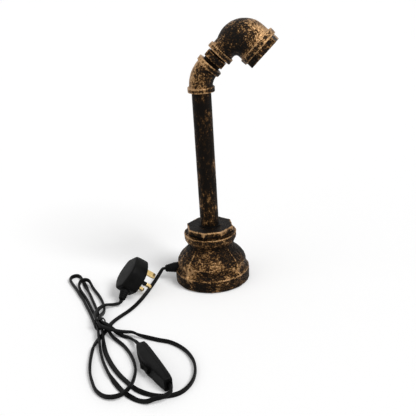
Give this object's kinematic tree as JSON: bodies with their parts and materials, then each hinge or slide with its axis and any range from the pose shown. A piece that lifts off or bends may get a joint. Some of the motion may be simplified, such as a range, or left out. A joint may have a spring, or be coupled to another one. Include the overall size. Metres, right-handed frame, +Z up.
{
  "type": "table lamp",
  "caption": "Table lamp of screwed pipe fittings: round socket base, upright pipe, angled elbow and a downturned elbow holding a screw lampholder, with lead, in-line switch and three-pin plug.",
  "frame": {"origin": "centre of the foot's underside, on the table", "axes": "+Z up along the pipe, +X toward the side that the arm and head lean to"},
  "size_m": [0.3272, 0.363, 0.3772],
  "materials": {
    "foam": "matt black foam",
    "steel": "plain steel",
    "cast_copper": "antique copper dry-brushed over black",
    "pipe_copper": "antique copper dry-brushed over black",
    "black_plastic": "satin black",
    "black_flex": "satin black",
    "white_plastic": "matt white",
    "brass": "bright brass"
  },
  "bodies": {
    "stand": {"foot_pad": "foam", "base_plate": "steel", "base_reducer": "cast_copper", "base_bush": "cast_copper", "pipe_seal": "black_plastic", "stem_pipe": "pipe_copper", "cord_grip": "black_plastic", "grip_nut": "black_plastic", "base_flex": "black_flex", "terminal_block": "white_plastic", "terminal_screws": "brass", "stem_flex": "black_flex", "lamp_lead": "black_flex", "hank_lamp_side": "black_flex", "hank_plug_side": "black_flex", "plug_lead": "black_flex", "cable_tie": "black_plastic", "switch_top_shell": "black_plastic", "switch_bottom_shell": "black_plastic", "switch_sleeves": "black_plastic", "switch_screws": "steel", "switch_contacts": "brass", "plug_body": "black_plastic", "plug_sleeve": "black_plastic", "earth_pin": "brass", "live_pin": "brass", "neutral_pin": "brass", "pin_sleeves": "black_plastic"},
    "arm": {"elbow_45": "cast_copper", "hex_nipple": "cast_copper", "nipple_grommet": "black_plastic", "elbow_flex": "black_flex", "nipple_flex": "black_flex"},
    "head": {"elbow_90": "cast_copper", "mouth_bush": "cast_copper", "lampholder_body": "white_plastic", "lampholder_shell": "brass", "lampholder_ring": "black_plastic", "centre_contact": "brass", "side_contact": "brass", "lampholder_cap": "white_plastic", "holder_screws": "brass", "head_flex": "black_flex"},
    "rocker": {"switch_rocker": "black_plastic"},
    "fuse_drawer": {"fuse_carrier": "black_plastic", "fuse_link": "steel"}
  },
  "joints": [
    {"name": "arm_swivel", "type": "hinge", "parent": "stand", "child": "arm", "pos_m": [0, 0, 0.29], "axis": [0, 0, 1], "range_deg": [-170, 170]},
    {"name": "head_swivel", "type": "hinge", "parent": "arm", "child": "head", "pos_m": [0, 0, 0.304], "axis": [0.7071, 0, 0.7071], "range_deg": [-170, 170]},
    {"name": "rocker_tilt", "type": "hinge", "parent": "stand", "child": "rocker", "pos_m": [-0.08331, -0.24575, 0.01], "axis": [0, 0, 1], "range_deg": [-16, 0]},
    {"name": "fuse_slide", "type": "slide", "parent": "stand", "child": "fuse_drawer", "axis": [0.7561, 0.1501, -0.637], "range_m": [0, 0.012]}
  ]
}
